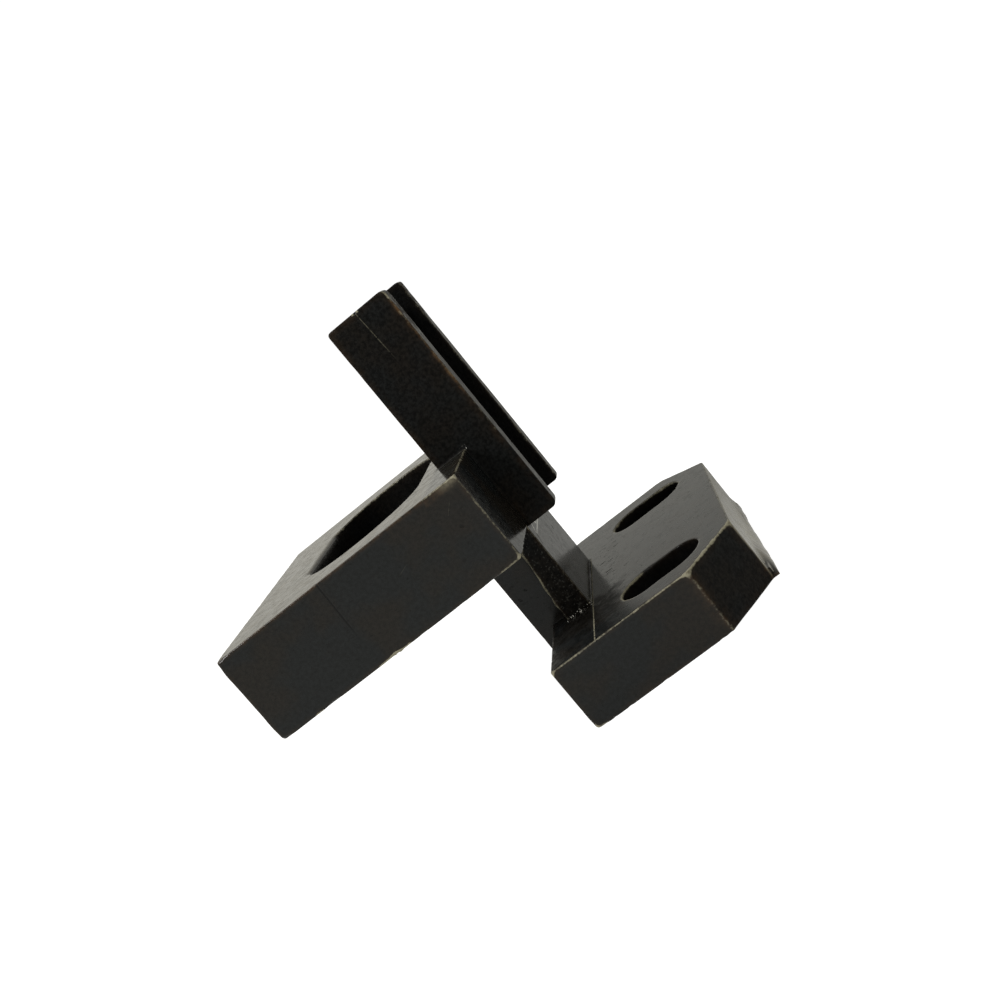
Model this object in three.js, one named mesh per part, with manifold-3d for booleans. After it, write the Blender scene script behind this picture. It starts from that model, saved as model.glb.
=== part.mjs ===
// Offset mounting bracket, machined from one block of steel. Millimetres, +Z up.
//
// Seen from the front (along +Y) the block is a Z: a foot on the right, a web that rises from the
// foot's left end, and an upper plate that runs away to the left. A channel-shaped arm stands on the
// plate's right edge. It is one solid piece, with no fasteners and nothing that moves.
//
// Origin: the middle of the foot's underside, halfway between its two slots.
// +X: from the web to the foot's free end. +Y: from the front to the back. +Z: from foot to arm.

import * as THREE from "three";
import { mergeVertices } from "three/addons/utils/BufferGeometryUtils.js";
import Module from "manifold-3d";

// ---- driving dimensions ----

const depth = 60;                 // front to back, the same for foot and plate

const footThickness = 11;
const footReach = 12.5;           // slot centre line to the foot's free end
const footHeel = 7.7;             // how far the foot runs back under the web, at the front
const footChamfer = 8.5;          // 45 degree corners of the free end
const slotWidth = 9;              // clears an M8 screw
const slotLength = 14;
const slotSpacing = 40;
const slotToWeb = 12.7;           // slot centre line to the web's right face

const gap = 15.8;                 // from the foot's top to the plate's underside
const webThickness = 10.2;
const webFront = 21.7;            // the web's front face, measured from the block's front
const webBack = 43.4;
const ribThickness = 4.4;         // narrower strip along the web's front right edge
const ribFront = 17.8;

const plateWidth = 45;
const plateThickness = 15.2;
const windowWidth = 22;           // the plate's long round-ended opening
const windowLength = 42;
const windowToRight = 20.4;       // opening's centre line to the plate's right side
const windowRunOut = 2;           // how far its cutter ran on below the plate

const armInboard = 5.4;           // part of the arm that stands on the plate
const armOverhang = 5.7;          // part that hangs past the plate's right side
const armDrop = 0.4;              // how far the overhanging part reaches below the plate
const armFront = 19.5;
const armRise = 26.4;             // above the plate's top
const frontFlange = 3.5;
const grooveWidth = 16;
const backFlange = 3.1;
const flangeRound = 1;            // radius of the flanges' outer corners

const lipReach = 1;               // ledge left along the bottom of the free end
const lipHeight = 2.2;
const lipEdge = 0.5;

const gunBlack = 0x1d1c1a;        // blackened steel
const facetsPerArc = 24;          // flats along each arc of an outline
const overcut = 2;                // how far a cutting solid runs past the face it opens
const weldDistance = 1e-5;        // corners nearer than this are one corner

// ---- places that follow from them ----

const front = -depth / 2;
const back = depth / 2;
const webRight = -slotToWeb;
const webLeft = webRight - webThickness;
const footLeft = webRight - footHeel;
const plateUnderside = footThickness + gap;
const plateTop = plateUnderside + plateThickness;
const plateLeft = webRight - plateWidth;
const plateMiddle = plateUnderside + plateThickness / 2;
const armTop = plateTop + armRise;
const armBottom = plateUnderside - armDrop;
const armLeft = webRight - armInboard;
const armRight = webRight + armOverhang;
const grooveFront = front + armFront + frontFlange;
const grooveBack = grooveFront + grooveWidth;
const armBack = grooveBack + backFlange;

// ---- solids ----

const wasm = await Module();
wasm.setup();

// Turns a closed three.js geometry into a solid that can be cut and joined.
function solidFrom(geometry) {
  const bare = geometry.index ? geometry.toNonIndexed() : geometry.clone();
  bare.deleteAttribute("normal");
  bare.deleteAttribute("uv");
  const merged = mergeVertices(bare, weldDistance);
  const vertProperties = new Float32Array(merged.attributes.position.array);
  const triVerts = new Uint32Array(merged.index.array);
  return new wasm.Manifold(new wasm.Mesh({ numProp: 3, vertProperties, triVerts }));
}

// A box given by its lowest and highest corner.
function block(low, high) {
  const size = high.map((value, axis) => value - low[axis]);
  const geometry = new THREE.BoxGeometry(...size);
  geometry.translate(...low.map((value, axis) => value + size[axis] / 2));
  return solidFrom(geometry);
}

// An outline in the XY plane, raised from one height to another.
function raised(shape, bottom, top) {
  const geometry = new THREE.ExtrudeGeometry(shape, {
    depth: top - bottom,
    bevelEnabled: false,
    curveSegments: facetsPerArc / 2,
  });
  geometry.translate(0, 0, bottom);
  return solidFrom(geometry);
}

// An outline drawn in the XZ plane, carried from one Y to another.
function acrossDepth(shape, fromY, toY) {
  const geometry = new THREE.ExtrudeGeometry(shape, {
    depth: toY - fromY,
    bevelEnabled: false,
    curveSegments: facetsPerArc / 2,
  });
  geometry.rotateX(Math.PI / 2);
  geometry.translate(0, toY, 0);
  return solidFrom(geometry);
}

function polygon(points) {
  return new THREE.Shape(points.map(([x, y]) => new THREE.Vector2(x, y)));
}

// A round-ended slot outline. Its straight sides run along X, or along Y when upright is true.
function slotOutline(centreX, centreY, length, width, upright) {
  const radius = width / 2;
  const reach = length / 2 - radius;
  const shape = new THREE.Shape();
  if (upright) {
    shape.absarc(centreX, centreY + reach, radius, 0, Math.PI, false);
    shape.absarc(centreX, centreY - reach, radius, Math.PI, 2 * Math.PI, false);
  } else {
    shape.absarc(centreX + reach, centreY, radius, -Math.PI / 2, Math.PI / 2, false);
    shape.absarc(centreX - reach, centreY, radius, Math.PI / 2, 1.5 * Math.PI, false);
  }
  shape.closePath();
  return shape;
}

// Foot: a slab with its two free corners cut at 45 degrees. Behind the web's front face it runs
// as far left as the web does.
function foot() {
  const outline = polygon([
    [footLeft, front],
    [footReach - footChamfer, front],
    [footReach, front + footChamfer],
    [footReach, back - footChamfer],
    [footReach - footChamfer, back],
    [webLeft, back],
    [webLeft, front + webFront],
    [footLeft, front + webFront],
  ]);
  return raised(outline, 0, footThickness);
}

// Ledge along the bottom of the foot's free end.
function lip() {
  const outline = polygon([
    [footReach - overcut, 0],
    [footReach + lipReach, 0],
    [footReach + lipReach, lipEdge],
    [footReach, lipHeight],
    [footReach - overcut, lipHeight],
  ]);
  return acrossDepth(outline, front + footChamfer, back - footChamfer);
}

function footSlot(side) {
  const outline = slotOutline(0, side * slotSpacing / 2, slotLength, slotWidth, false);
  return raised(outline, -overcut, footThickness + overcut);
}

// Web: the wall between foot and plate, with a narrower rib along its front right edge. It runs on
// into both, so that the three are one solid.
function web() {
  const bottom = footThickness / 2;
  const top = plateMiddle;
  const wall = block([webLeft, front + webFront, bottom], [webRight, front + webBack, top]);
  const ribLeft = webRight - ribThickness;
  const rib = block([ribLeft, front + ribFront, bottom], [webRight, front + webFront + overcut, top]);
  return wall.add(rib);
}

function plate() {
  return block([plateLeft, front, plateUnderside], [webRight, back, plateTop]);
}

// The plate's opening. It runs on below the plate, where it takes a shallow bite out of the web.
function plateWindow() {
  const windowX = webRight - windowToRight;
  const outline = slotOutline(windowX, 0, windowLength, windowWidth, true);
  return raised(outline, plateUnderside - windowRunOut, plateTop + overcut);
}

// Arm: a bar with rounded outer corners. Its inboard half stands on the plate, and its outer half
// reaches down beside the plate to just below its underside. Both run on into plate and web.
function arm() {
  const shape = new THREE.Shape();
  const roundX = armRight - flangeRound;
  shape.moveTo(armLeft, plateMiddle);
  shape.lineTo(webRight - overcut, plateMiddle);
  shape.lineTo(webRight - overcut, armBottom);
  shape.lineTo(roundX, armBottom);
  shape.absarc(roundX, armBottom + flangeRound, flangeRound, -Math.PI / 2, 0, false);
  shape.lineTo(armRight, armTop - flangeRound);
  shape.absarc(roundX, armTop - flangeRound, flangeRound, 0, Math.PI / 2, false);
  shape.lineTo(armLeft, armTop);
  shape.closePath();
  return acrossDepth(shape, front + armFront, armBack);
}

// The channel between the arm's flanges, open to the right, above and below.
function armGroove() {
  return block(
    [webRight, grooveFront, armBottom - overcut],
    [armRight + overcut, grooveBack, armTop + overcut],
  );
}

function bracket() {
  let solid = foot().add(lip());
  solid = solid.subtract(footSlot(-1)).subtract(footSlot(1));
  solid = solid.add(web()).add(plate()).add(arm());
  return solid.subtract(plateWindow()).subtract(armGroove());
}

// ---- scene graph ----

function meshFrom(solid, name, material) {
  const { vertProperties, triVerts } = solid.getMesh();
  const geometry = new THREE.BufferGeometry();
  geometry.setAttribute("position", new THREE.BufferAttribute(new Float32Array(vertProperties), 3));
  geometry.setIndex(new THREE.BufferAttribute(new Uint32Array(triVerts), 1));
  geometry.computeVertexNormals();
  const mesh = new THREE.Mesh(geometry, material);
  mesh.name = name;
  return mesh;
}

const blackenedSteel = new THREE.MeshStandardMaterial({
  color: gunBlack,
  roughness: 0.42,
  metalness: 0.6,
});

const group = new THREE.Group();
group.add(meshFrom(bracket(), "bracket", blackenedSteel));

export default group;
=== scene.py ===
import math

import bpy
import numpy as np
from mathutils import Matrix, Vector


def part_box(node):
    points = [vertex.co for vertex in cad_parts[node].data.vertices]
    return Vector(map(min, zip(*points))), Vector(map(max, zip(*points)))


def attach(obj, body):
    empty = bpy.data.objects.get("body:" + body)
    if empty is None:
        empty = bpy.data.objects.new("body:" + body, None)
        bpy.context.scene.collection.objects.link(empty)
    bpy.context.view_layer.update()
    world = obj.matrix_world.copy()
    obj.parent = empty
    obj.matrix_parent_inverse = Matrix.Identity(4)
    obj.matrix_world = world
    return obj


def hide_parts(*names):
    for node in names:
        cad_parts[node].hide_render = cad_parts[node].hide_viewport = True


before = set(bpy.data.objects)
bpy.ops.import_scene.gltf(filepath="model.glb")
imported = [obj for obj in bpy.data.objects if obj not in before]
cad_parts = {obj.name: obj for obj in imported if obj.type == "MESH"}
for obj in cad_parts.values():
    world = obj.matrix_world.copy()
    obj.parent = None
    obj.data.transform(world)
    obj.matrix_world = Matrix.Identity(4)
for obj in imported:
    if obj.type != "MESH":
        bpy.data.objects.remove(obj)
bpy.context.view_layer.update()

# ---- sizes, in millimetres ----
# The outline comes from the CAD solid's box. The rest repeats the bracket's driving dimensions.

MM = 0.001
low, high = [[value / MM for value in corner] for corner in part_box("bracket")]
plate_left, front, underside = low
lip_end, back, arm_top = high

foot_end = lip_end - 1.0          # the ledge along the foot's end stands out 1 mm
foot_top = underside + 11.0
foot_corner = 8.5                 # 45 degree corners of the foot's free end
slot_size = (14.0, 9.0)
slot_offset = 20.0

plate_low = foot_top + 15.8
plate_top = plate_low + 15.2
web_right = plate_left + 45.0
web_left = web_right - 10.2
foot_left = web_right - 7.7
web_front = front + 21.7
web_back = front + 43.4
rib_left = web_right - 4.4
rib_front = front + 17.8
window_x = web_right - 20.4
window_size = (22.0, 42.0)

arm_left = web_right - 5.4
arm_right = web_right + 5.7
arm_front = front + 19.5
groove_front = arm_front + 3.5
groove_back = groove_front + 16.0
arm_back = groove_back + 3.1
arm_low = plate_low - 0.4
arm_round = 1.0                   # radius of the flanges' outer corners
arm_break = 0.8                   # how far the arm's left corners are broken
short_flange = 0.2                # how far the back flange ends short of the front one
window_bite = 2.0                 # how far the window's cutter ran on into the web
foot_bend = foot_end - foot_corner

sharp = 0.01                      # rounding of an edge that stays sharp
past = 5.0                        # how far a cutting box runs past the face it opens
seed = 7


# ---- smooth noise ----

def noise(p, size, salt):
    """Smooth noise from -1 to 1 at the points p, with bumps about `size` mm across."""
    cells = 64
    values = np.random.default_rng(seed + salt).uniform(-1, 1, (cells,) * 3).astype(np.float32)
    size = np.broadcast_to(size, 3)
    whole, part = [], []
    for axis in range(3):
        place = p[axis] / size[axis] + 1000.0
        floor = np.floor(place)
        whole.append(floor.astype(np.int32))
        step = place - floor
        part.append(step * step * (3 - 2 * step))
    total = 0.0
    for corner in np.ndindex(2, 2, 2):
        weight = 1.0
        index = []
        for axis in range(3):
            weight = weight * (part[axis] if corner[axis] else 1 - part[axis])
            index.append((whole[axis] + corner[axis]) % cells)
        total = total + weight * values[tuple(index)]
    return total


def ramp(value, start, stop):
    """0 below start, 1 above stop, and a smooth step between."""
    t = np.clip((value - start) / (stop - start), 0, 1)
    return t * t * (3 - 2 * t)


# ---- distances, negative inside the steel ----

def box(p, lowest, highest, radius):
    """Distance to a box with rounded edges."""
    reach = [
        np.abs(p[axis] - (lowest[axis] + highest[axis]) / 2)
        - ((highest[axis] - lowest[axis]) / 2 - radius)
        for axis in range(3)
    ]
    outside = np.sqrt(sum(np.maximum(value, 0) ** 2 for value in reach))
    inside = np.minimum(np.maximum(np.maximum(reach[0], reach[1]), reach[2]), 0)
    return outside + inside - radius


def region(p, lowest, highest, soft=0.3):
    """1 inside a box of space, 0 outside, with a soft border."""
    return ramp(-box(p, lowest, highest, 0.001), -soft, soft)


def only_in(p, lowest, highest, make):
    """The values of make(p) inside a box of space, and 0 outside it."""
    inside = np.ones(p[0].shape, dtype=bool)
    for axis in range(3):
        inside &= (p[axis] >= lowest[axis]) & (p[axis] <= highest[axis])
    values = np.zeros(p[0].shape, dtype=np.float32)
    values[inside] = make([p[axis][inside] for axis in range(3)])
    return values


def stadium(p, x, y, size):
    """Distance to an endless upright hole with round ends."""
    radius = min(size) / 2
    dx = np.maximum(np.abs(p[0] - x) - (size[0] / 2 - radius), 0)
    dy = np.maximum(np.abs(p[1] - y) - (size[1] / 2 - radius), 0)
    straight = np.minimum(np.maximum(
        np.abs(p[0] - x) - size[0] / 2, np.abs(p[1] - y) - size[1] / 2), 0)
    return np.where(dx + dy > 0, np.sqrt(dx ** 2 + dy ** 2) - radius, straight)


def both(a, b, radius):
    """The part inside both solids, with the new edge broken by about `radius`."""
    blend = np.maximum(radius - np.abs(a - b), 0) / radius
    return np.maximum(a, b) + blend * blend * radius / 4


def foot(p, edge, cut):
    slab = box(p, (foot_left, front, underside), (foot_end, back, foot_top), edge)
    corner = (p[0] - foot_end + np.abs(p[1]) - back + foot_corner) / math.sqrt(2)
    slab = both(slab, corner, cut)
    heel = box(p, (web_left, web_front, underside), (foot_left + 8, back, foot_top), edge)
    solid = np.minimum(slab, heel)
    for y in (-slot_offset, slot_offset):
        solid = both(solid, -stadium(p, 0, y, slot_size), cut)
    return solid


def web_and_plate(p, edge, cut, ragged):
    """The web and its rib run on into the foot and the plate."""
    bottom = underside + 3
    top = plate_low + 6
    web = box(p, (web_left, web_front, bottom), (web_right, web_back, top), edge)
    rib = box(p, (rib_left + ragged, rib_front, bottom), (web_right, web_front + 3, top), edge)
    plate = box(p, (plate_left, front, plate_low), (web_right, back, plate_top), edge)
    solid = np.minimum(np.minimum(web, rib), plate)
    window = np.maximum(stadium(p, window_x, 0, window_size), plate_low - window_bite - p[2])
    return both(solid, -window, cut)


def arm(p, cut):
    """A channel. Its left half stands on the plate, and its right half hangs beside it."""
    half_x = (arm_right - arm_left) / 2 - arm_round
    half_z = (arm_top - arm_low) / 2 - arm_round
    dx = np.abs(p[0] - (arm_left + arm_right) / 2) - half_x
    dz = np.abs(p[2] - (arm_top + arm_low) / 2) - half_z
    outline = np.sqrt(np.maximum(dx, 0) ** 2 + np.maximum(dz, 0) ** 2) - arm_round
    outline = outline + np.minimum(np.maximum(dx, dz), 0)
    square_side = both(arm_left - p[0], dz - arm_round, arm_break)
    outline = np.minimum(outline, np.maximum(square_side, p[0] - web_right))
    below_plate = np.minimum(web_right - p[0], plate_low + 3 - p[2])
    outline = np.maximum(outline, below_plate)
    depth = np.abs(p[1] - (arm_front + arm_back) / 2) - (arm_back - arm_front) / 2
    bar = both(outline, depth, cut)
    bottom = arm_low - past
    far_corner = (arm_right + past, arm_back + past, arm_top + past)
    groove = box(p, (web_right, groove_front, bottom), (far_corner[0], groove_back, far_corner[2]), sharp)
    shorter = box(p, (arm_right - short_flange, groove_back - 1, bottom), far_corner, sharp)
    return both(both(bar, -groove, 0.75 * cut), -shorter, 0.75 * cut)


def bracket(p, edge=0.25, ragged=0.0, cut=1.2):
    """The whole solid. `edge` rounds the outer edges, and cut edges are `cut` times as wide."""
    cut = cut * edge
    lower = np.minimum(foot(p, edge, cut), web_and_plate(p, edge, cut, ragged))
    return np.minimum(lower, arm(p, cut))


def lip(p):
    """How far the foot's free end bulges out near its bottom. It grows from back to front."""
    end = back - foot_corner
    along = (p[0] * 0, p[1], p[2] * 0)
    wave = noise(along, 5.0, 1) + 0.5 * noise(along, 1.9, 2)
    growth = ramp(-p[1], -end, end)
    rise = np.minimum(3.0 + 1.2 * growth + 0.35 * wave, 0.3 + 0.5 * (p[1] + end))
    reach = 0.4 + 0.6 * growth + 0.07 * wave
    within = (np.abs(p[1]) < end) * (p[0] > foot_end - 0.3)
    return reach * ramp(rise - p[2], 0, np.maximum(rise - 0.3, 0.05)) * within


def edge_radius(p):
    """How round the edges are: a little everywhere, and more in chips and at four corners."""
    chips = 0.25 * ramp(noise(p, 0.9, 4), 0.35, 0.9)
    radius = 0.18 + 0.14 * ramp(noise(p, 4.0, 3), -0.2, 0.8) + chips
    for corner, size in (
        ((web_right, front, plate_low), 0.3),
        ((foot_left, front, underside), 0.4),
        ((plate_left, front, plate_low), 0.3),
        ((plate_left, front, plate_top), 0.35),
    ):
        away = np.sqrt(sum((p[axis] - corner[axis]) ** 2 for axis in range(3)))
        radius = radius + size * ramp(-away, -2.6, -0.6)
    first = (plate_left, front - 1, plate_low - 1)
    plate_edge = region(p, first, (web_right, front + 1, plate_low + 1))
    radius = radius + 0.6 * plate_edge * ramp(noise(p, (3.0, 1.0, 1.0), 8), 0.1, 0.7)
    first = (foot_bend + 0.5, front - 1, foot_top - 1)
    corner_edge = region(p, first, (foot_end + 1, front + foot_corner - 0.5, foot_top + 1))
    return radius + 0.1 * corner_edge


def rib_lean(p):
    """How far the rib's left side has moved to the right on its way up."""
    return 1.2 * ramp(p[2], foot_top, plate_low)


def rib_edge(p):
    """How far the rib's left side lies right of its foot: it leans and is ragged."""
    return rib_lean(p) + 0.22 * noise(p, 2.4, 5) + 0.16 * noise(p, 0.8, 6) - 0.15


def cutter_groove(p):
    """Depth of the dashed groove where the foot's cutter stopped beside the web."""
    first = (web_right - 2, rib_front, foot_top - 0.5)
    on_foot = region(p, first, (web_right + 2, web_back + 0.4, foot_top + 0.5))
    dashes = ramp(noise(p, (4.0, 1.1, 4.0), 9), -0.5, 0.1)
    return 0.14 * on_foot * dashes * np.exp(-((p[0] - web_right - 0.12) / 0.12) ** 2)


def rib_swirls(p):
    """Relief of the rib's rough front face."""
    first = (rib_left - 1, rib_front - 1, foot_top)
    on_rib = region(p, first, (web_right - 0.8, rib_front + 1, plate_low))
    return on_rib * (0.05 * noise(p, 0.6, 7) + 0.05 * noise(p, (0.5, 0.5, 1.4), 14) + 0.06)


def burrs(p):
    """Height of the crumbs left along the rib's foot and on the plate's lower front edge."""
    crumbs = ramp(noise(p, 0.4, 10), 0.1, 0.7)
    first = (rib_left - 0.5, rib_front - 0.6, foot_top)
    at_rib = region(p, first, (web_right + 0.3, rib_front + 0.4, foot_top + 0.5))
    first = (-38.5, front - 0.3, plate_low - 0.5)
    at_plate = region(p, first, (-34.0, front + 0.6, plate_low + 0.9))
    return 0.16 * crumbs * at_rib + 0.16 * crumbs * at_plate


def worn_bracket(p):
    """The bracket with edges worn by different amounts, nicks, burrs and cutter marks."""
    near_web = (web_right - 7, front - 1, foot_top - 1), (web_right + 3, web_back + 1, plate_low + 1)
    near_burr = (-40, front - 1, plate_low - 1), (-33, front + 1, plate_low + 1)
    near_lip = (foot_end - 1, front, -2), (lip_end + 2, back, 6)
    solid = bracket(p, edge_radius(p), only_in(p, *near_web, rib_edge))
    solid = solid - only_in(p, *near_lip, lip)
    for marks in (cutter_groove, rib_swirls):
        solid = solid + only_in(p, *near_web, marks)
    for place in (near_web, near_burr):
        solid = solid - only_in(p, *place, burrs)
    nick = np.sqrt((p[0] + 12.6) ** 2 + (p[1] - arm_front) ** 2 + (p[2] - arm_top) ** 2) - 0.35
    solid = np.maximum(solid, -nick)
    return np.maximum(solid, box(p, low, high, sharp))


# ---- mesh ----

def grid_lines(start, stop, planes, spans, fine=0.13, coarse=1.1, reach=0.5, growth=0.18):
    """Places from start to stop. They crowd near the planes, and each span has a widest step."""
    places = [start]
    while places[-1] < stop:
        here = places[-1]
        nearest = min(abs(here + fine - plane) for plane in planes)
        step = min(fine + growth * max(0.0, nearest - reach), coarse)
        for first, last, widest in spans:
            if first < here < last:
                step = min(step, widest)
        places.append(here + step)
    return np.array(places, dtype=np.float32)


def bracket_grid():
    """The places of the grid's lines along X, Y and Z."""
    margin = 0.8
    slot_x = slot_size[0] / 2 + 0.5
    slot_y = slot_size[1] / 2 + 0.5
    window_x_reach = window_size[0] / 2 + 0.5
    window_y_reach = window_x_reach + 11
    bend = foot_corner + 0.5
    x = [plate_left, web_left, foot_left, arm_left, rib_left, web_right, arm_right, foot_end, lip_end]
    y = [front, rib_front, arm_front, web_front, groove_front, groove_back, arm_back, web_back, back]
    z = [underside, foot_top, plate_low, plate_top, arm_top]
    x_spans = [
        (-slot_x, slot_x, 0.22),
        (window_x - window_x_reach, window_x + window_x_reach, 0.32),
        (foot_end - bend, foot_end, 0.18),
    ]
    y_spans = [(side - slot_y, side + slot_y, 0.22) for side in (-slot_offset, slot_offset)]
    y_spans += [
        (front, front + bend, 0.18),
        (back - bend, back, 0.18),
        (-window_y_reach, window_y_reach, 0.5),
    ]
    z_spans = [(underside, underside + 5, 0.25)]
    return [
        grid_lines(first - margin, last + margin, planes, spans)
        for first, last, planes, spans in zip(low, high, (x, y, z), (x_spans, y_spans, z_spans))
    ]


def surface_net(field, lines):
    """A closed skin of four-sided faces where the field changes sign."""
    shape = np.array(field.shape) - 1
    sums = np.zeros((3, shape.prod()))
    count = np.zeros(shape.prod())
    faces = []
    for axis in range(3):
        second, third = (axis + 1) % 3, (axis + 2) % 3
        start = np.moveaxis(field, axis, 0)[:-1]
        stop = np.moveaxis(field, axis, 0)[1:]
        found = np.nonzero((start < 0) != (stop < 0))
        order = [axis] + [a for a in range(3) if a != axis]
        index = [None] * 3
        for place, a in zip(found, order):
            index[a] = place
        before, after = start[found], stop[found]
        part = before / (before - after)
        point = [lines[a][index[a]] for a in range(3)]
        point[axis] = point[axis] + part * (lines[axis][index[axis] + 1] - lines[axis][index[axis]])
        corners = []
        for d2, d3 in ((-1, -1), (0, -1), (0, 0), (-1, 0)):
            cell = list(index)
            cell[second] = cell[second] + d2
            cell[third] = cell[third] + d3
            number = np.ravel_multi_index(cell, shape)
            corners.append(number)
            count += np.bincount(number, minlength=count.size)
            for a in range(3):
                sums[a] += np.bincount(number, weights=point[a], minlength=count.size)
        quads = np.stack(corners, axis=1)
        outward = before < 0
        faces.append(np.where(outward[:, None], quads, quads[:, ::-1]))
    used = np.flatnonzero(count)
    renumber = np.zeros(count.size, dtype=np.int64)
    renumber[used] = np.arange(used.size)
    return (sums[:, used] / count[used]).T, renumber[np.concatenate(faces)]


def bracket_mesh():
    """The skin of the worn bracket. The slow field is worked out only near the plain one's skin."""
    lines = bracket_grid()
    p = np.meshgrid(*lines, indexing="ij", sparse=True)
    ledge_start = (foot_end - 2, front + foot_corner, underside)
    ledge = box(p, ledge_start, (lip_end, back - foot_corner, 2.2), 0.1)
    field = np.minimum(bracket(p), ledge)
    near = np.nonzero(np.abs(field) < 0.6)
    field[near] = worn_bracket([lines[a][near[a]] for a in range(3)])
    points, faces = surface_net(field, lines)
    mesh = bpy.data.meshes.new("bracket_body")
    mesh.from_pydata(points * MM, [], faces)
    mesh.shade_smooth()
    return mesh, points


# ---- what the material needs to know at each point ----

def add_attribute(mesh, name, values):
    data = mesh.attributes.new(name, "FLOAT", "POINT").data
    data.foreach_set("value", np.ascontiguousarray(values, dtype=np.float32))


def vertex_normals(mesh):
    flat = np.zeros(len(mesh.vertices) * 3, dtype=np.float32)
    mesh.vertex_normals.foreach_get("vector", flat)
    return flat.reshape(-1, 3)


def stretch(start, stop, amount, near=1.2):
    """A stretch of edge as a box of space, with an amount."""
    lowest = [min(a, b) - near for a, b in zip(start, stop)]
    highest = [max(a, b) + near for a, b in zip(start, stop)]
    return lowest, highest, amount


def bare_edges():
    """Where the black is worn through along the edges, and how much."""
    corner_y = front + foot_corner
    along_corner = []
    for step in (0.0, 2.8, 5.6):
        first = (foot_bend + step, front + step, foot_top)
        last = (foot_bend + step + 2.9, front + step + 2.9, foot_top)
        along_corner.append(stretch(first, last, 1.15, 0.4))
    return along_corner + [
        stretch((foot_left, front, foot_top), (foot_bend, front, foot_top), 0.95),
        stretch((foot_bend, front, underside), (foot_bend, front, foot_top), 0.68, 0.4),
        stretch((foot_end, corner_y, foot_top), (foot_end, -corner_y, foot_top), 0.78),
        stretch((foot_end, corner_y, underside), (foot_end, corner_y, foot_top - 1), 0.55, 0.4),
        stretch((foot_left, front, underside), (foot_left + 1.2, front, underside), 0.8),
        stretch((foot_left, front, underside), (foot_left, front, foot_top), 0.5, 0.4),
        stretch((web_right - 5.0, front, plate_top), (web_right, front, plate_top), 1.0),
        stretch((web_right, front, plate_top), (web_right, arm_front, plate_top), 0.95),
        stretch((web_right, front, plate_low), (web_right, front, plate_top), 0.75),
        stretch((web_right - 3.0, front, plate_low), (web_right, front + 3.0, plate_low), 0.95),
        stretch((-38.0, front, plate_low), (-34.2, front, plate_low), 1.5),
        stretch((-30.0, front, plate_low), (-20.0, front, plate_low), 0.6, 0.4),
        stretch((-51.0, front, plate_low), (-50.2, front, plate_low), 1.1, 0.6),
        stretch((rib_left + 0.7, rib_front, foot_top), (rib_left + 0.7, rib_front, plate_low), 0.8),
        stretch((web_right, rib_front, foot_top), (web_right, rib_front, plate_low), 0.75),
        stretch((arm_right, arm_front, plate_top), (arm_right, arm_front, arm_top), 0.5),
        stretch((arm_right, arm_front, arm_top - 1.5), (arm_right, arm_front, arm_top), 1.0, 0.6),
        stretch((-7.0, -slot_offset - 3, foot_top), (-4.0, -slot_offset + 4, foot_top), 1.1),
        stretch((-12.8, arm_front, arm_top), (-12.4, arm_front, arm_top), 1.4, 0.4),
    ]


def rusty_places():
    """Where the black has turned brown, and how much."""
    corner_y = front + foot_corner
    return [
        stretch((arm_right, arm_front, 49.0), (arm_right, arm_front, 66.0), 1.0, 0.3),
        stretch((plate_left, front, plate_top), (web_right, front, plate_top), 0.25, 0.3),
        stretch((web_right - 5, front, plate_top - 0.3), (web_right, front, plate_top), 0.22, 0.9),
        stretch((foot_bend, front, underside), (foot_bend, front, foot_top), 0.2, 0.2),
        stretch((foot_end, corner_y, underside), (foot_end + 1, corner_y, 2.0), 0.4, 0.4),
    ]


def strongest(p, places, soft):
    """The largest amount of all the places that reach each point."""
    amount = np.zeros(p[0].shape)
    for lowest, highest, strength in places:
        amount = np.maximum(amount, strength * region(p, lowest, highest, soft))
    return amount


def edge_closeness(p):
    """Two values that fall away from an outer edge: a narrow one, 1 on its crest, and a wide one."""
    probe = 0.9
    cut = 1.66
    outside = np.clip(bracket(p, probe, rib_lean(p), cut), 0, 0.4)
    away = probe - np.sqrt((outside + probe) ** 2 - probe ** 2)
    crest = np.clip(0.56 + (0.7 * edge_radius(p) + 0.04 - away) / 0.34, 0, 1)
    crest = crest - 2.5 * np.maximum(outside - 0.3, 0)
    return crest * (p[0] < foot_end + 0.1), np.clip(1 - away / 0.8, 0, 1)


def mark_corners(mesh, p, normals):
    """Nearness to the inner corners, where dirt stays and light doesn't reach."""
    reach = 0.7
    outer = [p[a] + reach * normals[:, a] for a in range(3)]
    add_attribute(mesh, "corner", np.clip(1 - bracket(outer) / reach, 0, 1))


def mark_edges(mesh, p):
    """Bare steel on the outer edges, and the brown beside it."""
    crest, rim = edge_closeness(p)
    patchy = 1.0 + 0.16 * noise(p, 2.6, 11) + 0.14 * noise(p, 0.6, 12)
    elsewhere = 0.2 + 0.55 * ramp(p[1], 4, 14)
    amount = np.maximum(strongest(p, bare_edges(), 0.6), elsewhere)
    add_attribute(mesh, "bare", np.clip(crest * amount * patchy, 0, 1))
    add_attribute(mesh, "rust", np.clip(0.15 * rim + strongest(p, rusty_places(), 0.3), 0, 1))


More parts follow.
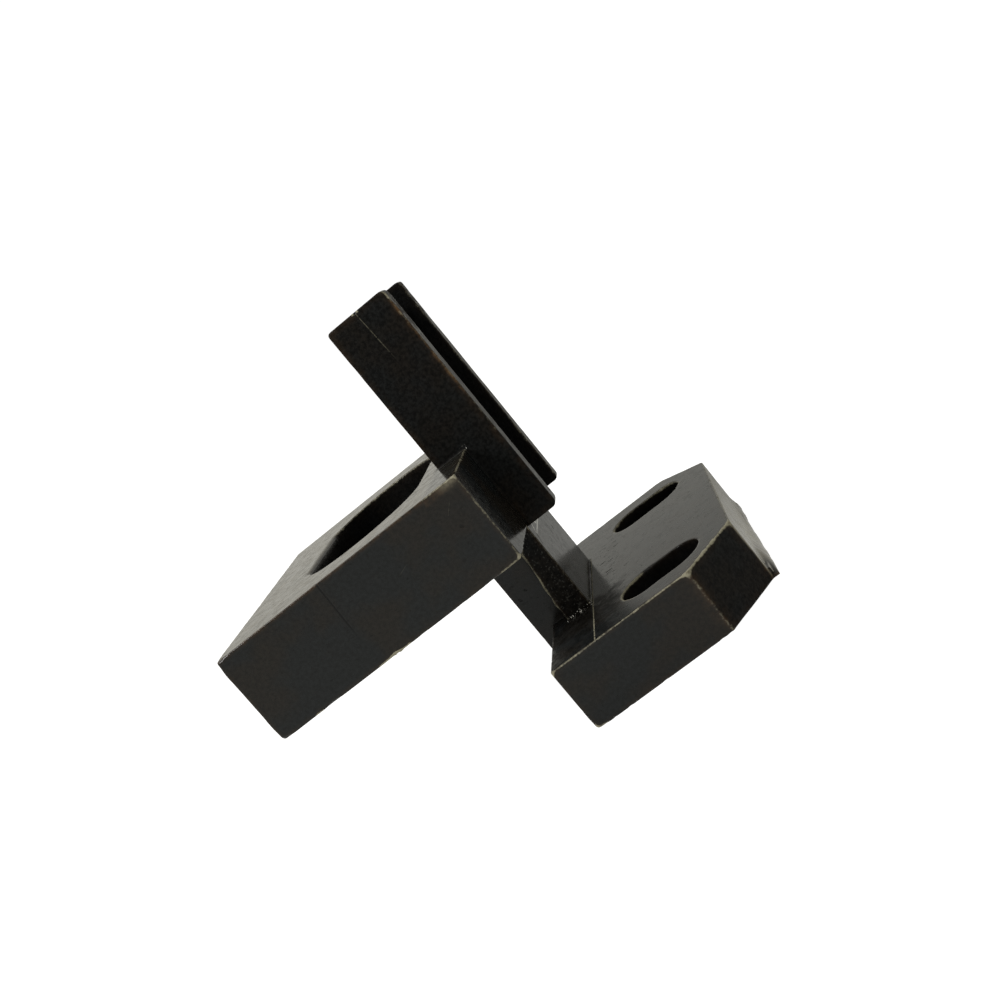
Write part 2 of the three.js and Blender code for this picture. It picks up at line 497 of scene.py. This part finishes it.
def mark_faces(mesh, p, normals):
    """Where whole faces are scuffed, smeared with bare steel or dull."""
    on_plate = ramp(normals[:, 2], 0.75, 0.98) * (np.abs(p[2] - plate_top) < 0.4)
    on_end = ramp(normals[:, 0], 0.75, 0.95) * (p[0] > foot_end - 0.3)
    by_arm = ramp(p[0], arm_left - 1.5, arm_left + 0.5)
    add_attribute(mesh, "scuff", np.maximum(0.9 * on_plate * (1 - 0.85 * by_arm), on_end))
    low_on_end = np.exp(-(p[1] / 10) ** 2 - ((p[2] - 3.0) / 2.5) ** 2)
    end_smear = on_end * (0.55 + 0.75 * low_on_end)
    by_top_edge = np.exp(-((p[0] + 13.6) / 1.7) ** 2 - ((p[2] - plate_top) / 0.9) ** 2)
    front_smear = 0.6 * (p[1] < front + 0.4) * by_top_edge
    smear = np.maximum(end_smear, front_smear) * (1 + 0.3 * noise(p, 1.5, 13))
    add_attribute(mesh, "smear", smear)
    flange = (p[0] > arm_right - 0.3) & (p[2] > arm_low)
    by_web = ramp(-p[0], 5, 10) * ramp(-p[1], 8, 14) * (np.abs(p[2] - foot_top) < 0.3)
    dull = np.maximum(flange * (0.3 + 0.7 * ramp(p[2], 56, 64)), 0.8 * by_web)
    add_attribute(mesh, "dull", dull)


def mark_painted_shade(mesh, p, normals):
    """Painted shade, the darkest places: inside the openings, in the arm's groove and under the foot's
    ledge, darkened where little light falls.
    """
    front_slot = stadium(p, 0, -slot_offset, slot_size)
    back_slot = stadium(p, 0, slot_offset, slot_size)
    below_window = p[2] < plate_low - window_bite - 0.3
    window = stadium(p, window_x, 0, window_size) + 30 * below_window
    hollow = np.minimum(window, np.minimum(front_slot, back_slot))
    hollow = ramp(-hollow, -0.1, 0.05) * (np.abs(normals[:, 2]) < 0.6)
    in_groove = (p[1] > groove_front - 0.05) & (p[1] < groove_back + 0.05)
    in_groove = in_groove & (p[0] > web_right - 0.1) & (p[2] > arm_low)
    under_lip = (p[0] > foot_end + 0.1) * ramp(-p[1], 15.0, 16.5) * ramp(p[2], 0.2, 0.6)
    # The stored value is painted shade for the recesses and the shadowed side of the ledge.
    add_attribute(mesh, "painted_shade", np.maximum(np.maximum(hollow, under_lip), in_groove))


def mark_spots(mesh, p):
    """Where pits lie closer together, and where painted glints go: near-white specks that stand in for
    the sparkle of light on the burrs at the rib's foot, on the rib and at the arm's foot.
    """
    pitted = [
        ((-11.0, -7.0, foot_top - 1), (-6.5, 17.0, foot_top + 1), 1.0),
        ((-24.0, -9.0, 14.0), (-18.5, -7.5, 21.0), 0.8),
        ((-24.0, -18.0, plate_top - 1), (-15.0, 5.0, plate_top + 1), 0.9),
    ]
    add_attribute(mesh, "pits", np.maximum(strongest(p, pitted, 1.0), 0.45))
    rib_foot = (rib_left - 0.3, rib_front - 0.5, foot_top - 0.3)
    rib_side = (web_right - 0.4, rib_front - 0.4, foot_top)
    arm_foot = (-13.8, arm_front - 0.6, plate_top - 0.2)
    rib_face = (rib_left, rib_front - 0.5, foot_top)
    painted_glint_places = [
        (rib_foot, (web_right + 0.4, rib_front + 0.3, foot_top + 0.5), 1.0),
        (rib_side, (web_right + 0.6, rib_front + 3.0, foot_top + 0.8), 0.7),
        (arm_foot, (-12.4, arm_front + 0.3, plate_top + 0.4), 0.6),
        (rib_face, (web_right, rib_front + 0.5, plate_low), 0.035),
    ]
    # Painted highlight: the stored value places glints painted into the colour in near white.
    add_attribute(mesh, "painted_glint", strongest(p, painted_glint_places, 0.15))


def mark_wear(mesh, points):
    """Stores what the materials need to know at each point."""
    p = [points[:, a] for a in range(3)]
    normals = vertex_normals(mesh)
    mark_corners(mesh, p, normals)
    mark_edges(mesh, p)
    mark_faces(mesh, p, normals)
    mark_painted_shade(mesh, p, normals)
    mark_spots(mesh, p)


# ---- materials ----

def new_material(name):
    material = bpy.data.materials.new(name)
    material.use_nodes = True
    material.node_tree.nodes.clear()
    return material


def node(tree, kind, inputs=None, **settings):
    made = tree.nodes.new("ShaderNode" + kind)
    for name, value in settings.items():
        setattr(made, name, value)
    for key, value in (inputs or {}).items():
        if isinstance(value, bpy.types.NodeSocket):
            tree.links.new(value, made.inputs[key])
        else:
            made.inputs[key].default_value = value
    return made


def math_node(tree, operation, a, b):
    return node(tree, "Math", {0: a, 1: b}, operation=operation).outputs[0]


def mix_colour(tree, factor, a, b):
    return node(tree, "Mix", {0: factor, 6: a, 7: b}, data_type="RGBA").outputs[2]


def times(tree, a, b):
    return math_node(tree, "MULTIPLY", a, b)


def larger(tree, a, b):
    return math_node(tree, "MAXIMUM", a, b)


def smooth_range(tree, value, start, stop, first=0.0, last=1.0):
    """`first` where the value is at start, `last` where it is at stop, and a smooth step between."""
    settings = {0: value, 1: start, 2: stop, 3: first, 4: last}
    return node(tree, "MapRange", settings, interpolation_type="SMOOTHSTEP").outputs[0]


def noise_node(tree, place, per_mm, detail=3.0, rough=0.55, squeeze=None):
    """Noise with `per_mm` bumps in a millimetre. `squeeze` gives how many times more, per axis."""
    if squeeze:
        place = node(tree, "VectorMath", {0: place, 1: squeeze}, operation="MULTIPLY").outputs[0]
    settings = {"Vector": place, "Scale": per_mm / MM, "Detail": detail, "Roughness": rough}
    return node(tree, "TexNoise", settings).outputs[0]


def rgb(red, green, blue):
    return (red, green, blue, 1.0)


scuff_grey = rgb(0.105, 0.091, 0.062)
rust_brown = rgb(0.085, 0.048, 0.022)
# Black for pits and carved lines, and also painted shade in the openings, the groove and under the ledge.
marks_and_painted_shade_black = rgb(0.0015, 0.0015, 0.0015)
bare_grey = rgb(0.21, 0.195, 0.14)
# Near-white colour for painted glints: highlights on scratches and burr crumbs.
painted_glint_grey = rgb(0.8, 0.79, 0.74)
white = rgb(1, 1, 1)


def attribute(tree, name):
    return node(tree, "Attribute", attribute_name=name).outputs["Fac"]


def hairline(tree, place, start, stop, width, end):
    """1 on a hair-thin straight line, fading to `end` along its length. Sizes are in mm."""
    start, along = Vector(start) * MM, (Vector(stop) - Vector(start)) * MM
    away = node(tree, "VectorMath", {0: place, 1: start}, operation="SUBTRACT").outputs[0]
    scaled = along / along.length_squared
    part = node(tree, "VectorMath", {0: away, 1: scaled}, operation="DOT_PRODUCT").outputs["Value"]
    part = node(tree, "Math", {0: part, 1: 0.0}, operation="ADD", use_clamp=True).outputs[0]
    nearest = node(tree, "VectorMath", {0: along, "Scale": part}, operation="SCALE").outputs[0]
    gap = node(tree, "VectorMath", {0: away, 1: nearest}, operation="DISTANCE").outputs["Value"]
    line = smooth_range(tree, gap, width * MM, 0.3 * width * MM)
    return times(tree, line, smooth_range(tree, part, 0.55, 1.0, 1.0, end))


def all_lines(tree, place, lines):
    total = None
    for start, stop, width, strength, end in lines:
        line = times(tree, hairline(tree, place, start, stop, width, end), strength)
        total = line if total is None else larger(tree, total, line)
    return total


# Each line is: start, stop, width, strength, and the share of it that is left at the end.

def pale_lines():
    """Thin bright lines left by cutters."""
    ridge = web_right + 0.36
    return [
        ((ridge, web_back, foot_top), (ridge, front, foot_top), 0.16, 1.0, 1.0),
        ((web_right + 0.4, 10.5, foot_top), (web_right, -11.4, foot_top), 0.1, 0.6, 1.0),
        ((-12.56, arm_front, arm_top), (-12.1, arm_front, 58.5), 0.1, 0.26, 0.0),
        ((window_x + 5, front, 35.5), (window_x + 7.5, front, 36.4), 0.08, 0.06, 0.0),
        ((-17.0, front, 38.0), (-15.3, front, 39.8), 0.08, 0.08, 0.0),
    ]


def scratches_painted_bright():
    """Real scratches, painted near white as highlights so that they shine in the shade under the arm."""
    return [
        ((web_right, 0.5, 24.8), (web_right, -9.2, 24.5), 0.2, 0.7, 0.5),
        ((web_right, -7.0, 26.2), (web_right, -9.4, 24.7), 0.2, 0.8, 0.6),
        ((web_right, -4.5, 25.4), (web_right, -3.5, 25.2), 0.5, 0.6, 0.5),
    ]


def dark_lines():
    """Thin dark lines where one pass of the cutter met the next, scratches and long pits."""
    return [
        ((-38.25, front, plate_top), (-38.6, front, 30.7), 0.2, 1.0, 0.1),
        ((-12.25, arm_front, 60.0), (-11.9, arm_front, 46.5), 0.16, 0.4, 0.1),
        ((-11.6, arm_front, 56.0), (-11.5, arm_front, 47.5), 0.14, 0.3, 0.0),
        ((web_right, 8.4, 23.2), (web_right, 7.8, 22.0), 0.16, 0.7, 0.6),
        ((web_right, 5.8, 21.1), (web_right, 5.3, 20.9), 0.3, 0.8, 0.8),
        ((web_right, -9.0, 25.0), (web_right, -11.2, 23.0), 0.2, 1.0, 0.8),
        ((-16.6, front, 35.8), (-16.4, front, 35.6), 0.35, 0.6, 0.6),
        ((-17.3, front, 33.2), (-17.2, front, 33.1), 0.3, 0.6, 0.6),
        ((-27.4, front, 34.6), (-27.3, front, 34.5), 0.25, 0.5, 0.5),
        ((-21.8, web_front, 17.5), (-21.7, web_front, 17.4), 0.35, 0.9, 0.9),
        ((-20.1, web_front, 18.3), (-20.0, web_front, 18.2), 0.25, 0.9, 0.9),
        ((-10.4, 5.0, foot_top), (-9.5, 5.1, foot_top), 0.3, 0.9, 0.9),
        ((-7.4, 10.1, foot_top), (-6.6, 10.2, foot_top), 0.25, 0.8, 0.8),
        ((-8.8, 3.6, foot_top), (-8.0, 3.7, foot_top), 0.25, 0.9, 0.9),
        ((-9.4, -1.6, foot_top), (-8.4, -1.5, foot_top), 0.3, 0.9, 0.9),
        ((-5.8, -5.2, foot_top), (-5.1, -5.1, foot_top), 0.25, 0.7, 0.7),
    ]


def seam_lines():
    """The dashed shadow between the foot's top and the web."""
    beside_web = web_right + 0.12
    return [((beside_web, web_back, foot_top), (beside_web, rib_front, foot_top), 0.2, 1.0, 1.0)]


def steel_textures(tree, place):
    """The noise that every layer of the steel draws on, from large to small."""
    return {
        "cloud": noise_node(tree, place, 0.12),
        "mottle": noise_node(tree, place, 0.6, 5.0, 0.65),
        "hide": noise_node(tree, place, 1.7, 4.0, 0.65),
        "speck": noise_node(tree, place, 2.6, 2.0),
        "grit": noise_node(tree, place, 3.1, 1.0),
        "streak": noise_node(tree, place, 1.1, 4.0, 0.6, squeeze=(0.12, 2.0, 2.0)),
        "dots": noise_node(tree, place, 1.5, 1.0, 0.5, squeeze=(0.6, 1.4, 1.4)),
    }


def oxide_layer(tree, textures, oxide, brown, contrast):
    """The black skin, with brown clouds, and lighter and darker by `contrast` from spot to spot."""
    colour = mix_colour(tree, smooth_range(tree, textures["cloud"], 0.4, 0.6), oxide, brown)
    shade = smooth_range(tree, textures["hide"], 0.35, 0.65, 1 - contrast, 1 + contrast)
    return node(tree, "VectorMath", {0: colour, "Scale": shade}, operation="SCALE").outputs[0]


def thin_spots(tree, textures, colour):
    """Scuffed faces, and rust."""
    brushed = smooth_range(tree, textures["streak"], 0.35, 0.7, 0.35, 1.0)
    uneven = smooth_range(tree, textures["mottle"], 0.3, 0.7, 0.6, 1.0)
    scuff = times(tree, times(tree, attribute(tree, "scuff"), brushed), uneven)
    colour = mix_colour(tree, scuff, colour, scuff_grey)
    spots = smooth_range(tree, textures["mottle"], 0.3, 0.65)
    rust = times(tree, attribute(tree, "rust"), spots)
    return mix_colour(tree, rust, colour, rust_brown)


def dark_marks(tree, place, textures):
    """How strongly a point is a pit, part of a carved line, or either."""
    pit = times(tree, attribute(tree, "pits"), smooth_range(tree, textures["dots"], 0.64, 0.7))
    dashes = smooth_range(tree, textures["speck"], 0.44, 0.52)
    seam = times(tree, all_lines(tree, place, seam_lines()), dashes)
    carved = larger(tree, all_lines(tree, place, dark_lines()), seam)
    return pit, carved, larger(tree, times(tree, pit, 0.9), carved)


def bare_marks(tree, place, textures):
    """How strongly a point is bare by wear, and how strongly by wear or by a smear."""
    frayed = smooth_range(tree, textures["speck"], 0.3, 0.7, -0.1, 0.1)
    bare = math_node(tree, "ADD", attribute(tree, "bare"), frayed)
    bare = smooth_range(tree, bare, 0.34, 0.84)
    broken = smooth_range(tree, textures["hide"], 0.36, 0.48)
    worn = larger(tree, bare, times(tree, all_lines(tree, place, pale_lines()), broken))
    patches = smooth_range(tree, textures["mottle"], 0.3, 0.6, 0.2, 1.0)
    return worn, larger(tree, worn, times(tree, attribute(tree, "smear"), patches))


def scratches_and_painted_glints(tree, place, textures):
    """Painted highlights: scratches and burr crumbs coloured near white as glints of light."""
    grains = smooth_range(tree, textures["grit"], 0.6, 0.68)
    painted_glint = times(tree, attribute(tree, "painted_glint"), grains)
    return larger(tree, painted_glint, all_lines(tree, place, scratches_painted_bright()))


def gloss(tree, textures, roughness, marked):
    """Roughness: more in the inner corners, on dull faces, and where the surface is marked."""
    dull_spots = smooth_range(tree, textures["mottle"], 0.35, 0.6, 0.15, 0.45)
    shine = smooth_range(tree, textures["mottle"], 0.35, 0.7, *roughness)
    for extra in (
        times(tree, attribute(tree, "corner"), 0.2),
        times(tree, attribute(tree, "dull"), dull_spots),
        times(tree, marked, 0.25),
    ):
        shine = math_node(tree, "ADD", shine, extra)
    return shine


def relief(tree, textures, grain, leather, carved, pit):
    """A bump from brush marks and hide-like unevenness, in mm, less the lines and pits."""
    height = math_node(tree, "ADD", times(tree, textures["streak"], grain),
                       times(tree, textures["speck"], grain))
    height = math_node(tree, "ADD", height, times(tree, textures["hide"], leather))
    height = math_node(tree, "SUBTRACT", height, times(tree, carved, 0.05))
    height = math_node(tree, "SUBTRACT", height, times(tree, pit, 0.008))
    return node(tree, "Bump", {"Strength": 1.0, "Distance": MM, "Height": height}).outputs[0]


def steel(name, oxide, brown, contrast, specular, roughness, grain, leather):
    """Blackened steel. Roughness is a (smooth, rough) pair, grain and leather are heights in mm."""
    material = new_material(name)
    tree = material.node_tree
    place = node(tree, "TexCoord").outputs["Object"]
    textures = steel_textures(tree, place)
    pit, carved, dark = dark_marks(tree, place, textures)
    worn, pale = bare_marks(tree, place, textures)
    # Pits and carved lines darken the colour, and so does painted shade in the recesses and under the
    # ledge.
    marks_or_painted_shade = larger(tree, dark, times(tree, attribute(tree, "painted_shade"), 0.7))
    colour = oxide_layer(tree, textures, oxide, brown, contrast)
    colour = thin_spots(tree, textures, colour)
    colour = mix_colour(tree, marks_or_painted_shade, colour, marks_and_painted_shade_black)
    colour = mix_colour(tree, pale, colour, bare_grey)
    # Painted highlight: glints and bright scratches set in the colour.
    colour = mix_colour(tree, scratches_and_painted_glints(tree, place, textures), colour, painted_glint_grey)
    surface = node(tree, "BsdfPrincipled", {
        "Base Color": colour,
        "Roughness": gloss(tree, textures, roughness, larger(tree, worn, dark)),
        "Normal": relief(tree, textures, grain, leather, carved, pit),
        "Specular IOR Level": specular,
    })
    out = node(tree, "OutputMaterial")
    tree.links.new(surface.outputs[0], out.inputs[0])
    return material


def ground_steel():
    return steel(
        "ground_steel", oxide=rgb(0.0054, 0.0063, 0.0065), brown=rgb(0.0076, 0.0064, 0.0049),
        contrast=0.3, specular=0.18, roughness=(0.16, 0.26), grain=0.0006, leather=0.001,
    )


def rough_steel():
    return steel(
        "rough_steel", oxide=rgb(0.0045, 0.0048, 0.0047), brown=rgb(0.0052, 0.0044, 0.0035),
        contrast=0.6, specular=0.05, roughness=(0.3, 0.5), grain=0.008, leather=0.12,
    )


def per_face(mesh, name):
    """A vector of each face, as one row a face."""
    flat = np.zeros(len(mesh.polygons) * 3, dtype=np.float32)
    mesh.polygons.foreach_get(name, flat)
    return flat.reshape(-1, 3)


def assign_materials(mesh):
    """Ground faces take the first material, the rough-milled ones the second."""
    mesh.materials.append(ground_steel())
    mesh.materials.append(rough_steel())
    centre = per_face(mesh, "center") / MM
    normal = per_face(mesh, "normal")
    x, y, z = centre.T
    forward = normal[:, 1] < -0.5
    on_arm = (z > plate_low - 1) & (x > arm_left - 1) & (y > arm_front - 1) & (y < arm_back + 1)
    arm_sides = on_arm & (np.abs(normal[:, 1]) > 0.5)
    rib = forward & (x > rib_left - 1) & (x < web_right) & (np.abs(y - rib_front) < 1)
    rib = rib & (z > foot_top) & (z < plate_low)
    corner = (np.abs(normal[:, 0]) > 0.3) & (np.abs(normal[:, 1]) > 0.3) & (x > foot_bend)
    upright = np.abs(normal[:, 2]) < 0.5
    in_window = stadium(centre.T, window_x, 0, window_size) < 0.3
    deep = upright & in_window & (z > plate_low - window_bite - 0.3)
    for side in (-slot_offset, slot_offset):
        deep |= upright & (stadium(centre.T, 0, side, slot_size) < 0.3)
    rough = arm_sides | rib | (corner & (z < foot_top)) | deep
    mesh.polygons.foreach_set("material_index", rough.astype(np.int32))


def build_bracket():
    mesh, points = bracket_mesh()
    mark_wear(mesh, points)
    assign_materials(mesh)
    body = bpy.data.objects.new("bracket_body", mesh)
    bpy.context.collection.objects.link(body)
    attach(body, "root")
    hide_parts("bracket")


# ---- floor, light and camera ----

def build_floor():
    """Plain white to the camera. To the object it glows less from front to back."""
    half = 10.0
    corners = [(-half, -half, 0), (half, -half, 0), (half, half, 0), (-half, half, 0)]
    mesh = bpy.data.meshes.new("floor")
    mesh.from_pydata(corners, [], [(0, 1, 2, 3)])
    floor = bpy.data.objects.new("floor", mesh)
    bpy.context.collection.objects.link(floor)
    material = new_material("floor")
    tree = material.node_tree
    seen = node(tree, "LightPath").outputs["Is Camera Ray"]
    place = node(tree, "TexCoord").outputs["Object"]
    depth = node(tree, "SeparateXYZ", {0: place}).outputs["Y"]
    strength = smooth_range(tree, depth, -0.05, 0.07, 0.68, 0.12)
    glow = node(tree, "Emission", {"Color": rgb(1, 0.99, 0.94), "Strength": strength})
    paper = node(tree, "Emission", {"Color": white, "Strength": 0.95})
    lit = node(tree, "MixShader", {0: seen, 1: glow.outputs[0], 2: paper.outputs[0]})
    matt = node(tree, "BsdfDiffuse", {"Color": rgb(0.27, 0.27, 0.26)})
    added = node(tree, "AddShader", {0: lit.outputs[0], 1: matt.outputs[0]})
    out = node(tree, "OutputMaterial")
    tree.links.new(added.outputs[0], out.inputs[0])
    mesh.materials.append(material)


def build_world():
    """Plain white to the camera. To the object, walls that are brighter near the floor."""
    world = bpy.data.worlds.new("studio")
    bpy.context.scene.world = world
    world.use_nodes = True
    tree = world.node_tree
    tree.nodes.clear()
    seen = node(tree, "LightPath").outputs["Is Camera Ray"]
    direction = node(tree, "TexCoord").outputs["Generated"]
    height = node(tree, "SeparateXYZ", {0: direction}).outputs["Z"]
    strength = smooth_range(tree, height, 0.0, 0.3, 0.77, 0.48)
    walls = node(tree, "Background", {"Color": rgb(1.0, 0.985, 0.9), "Strength": strength})
    paper = node(tree, "Background", {"Color": white, "Strength": 1.05})
    mixed = node(tree, "MixShader", {0: seen, 1: walls.outputs[0], 2: paper.outputs[0]})
    out = node(tree, "OutputWorld")
    tree.links.new(mixed.outputs[0], out.inputs[0])


def area_light(name, place, aim, size, power):
    light = bpy.data.lights.new(name, "AREA")
    light.shape = "DISK"
    light.size = size
    light.energy = power
    lamp = bpy.data.objects.new(name, light)
    lamp.location = place
    lamp.rotation_euler = (Vector(aim) - Vector(place)).to_track_quat("-Z", "Y").to_euler()
    bpy.context.collection.objects.link(lamp)


def build_camera():
    """The camera looks a little down and to the left, and is tipped over on its side."""
    place = Vector((0.0242, -0.2121, 0.0617))
    heading = math.radians(10.626)
    pitch = math.radians(-8.136)
    roll = math.radians(-39.57)
    level_part = math.cos(pitch)
    ahead = Vector((-math.sin(heading) * level_part, math.cos(heading) * level_part, math.sin(pitch)))
    level = ahead.cross(Vector((0, 0, 1))).normalized()
    upward = level.cross(ahead)
    right = level * math.cos(roll) + upward * math.sin(roll)
    up = upward * math.cos(roll) - level * math.sin(roll)
    data = bpy.data.cameras.new("camera")
    data.sensor_width = 36.0
    data.lens = 48.49
    data.clip_start = 0.01
    data.clip_end = 60.0
    camera = bpy.data.objects.new("camera", data)
    turn = Matrix((right, up, -ahead)).transposed()
    camera.matrix_world = Matrix.Translation(place) @ turn.to_4x4()
    bpy.context.collection.objects.link(camera)
    bpy.context.scene.camera = camera


bpy.context.scene.view_settings.view_transform = "Standard"
build_camera()
build_bracket()
build_floor()
build_world()
area_light("softbox", (-0.3, 0.1, 0.7), (0, 0, 0.03), 0.6, 2.0)
area_light("side_light", (-0.35, -0.3, 0.45), (-0.02, 0, 0.03), 0.2, 3.0)
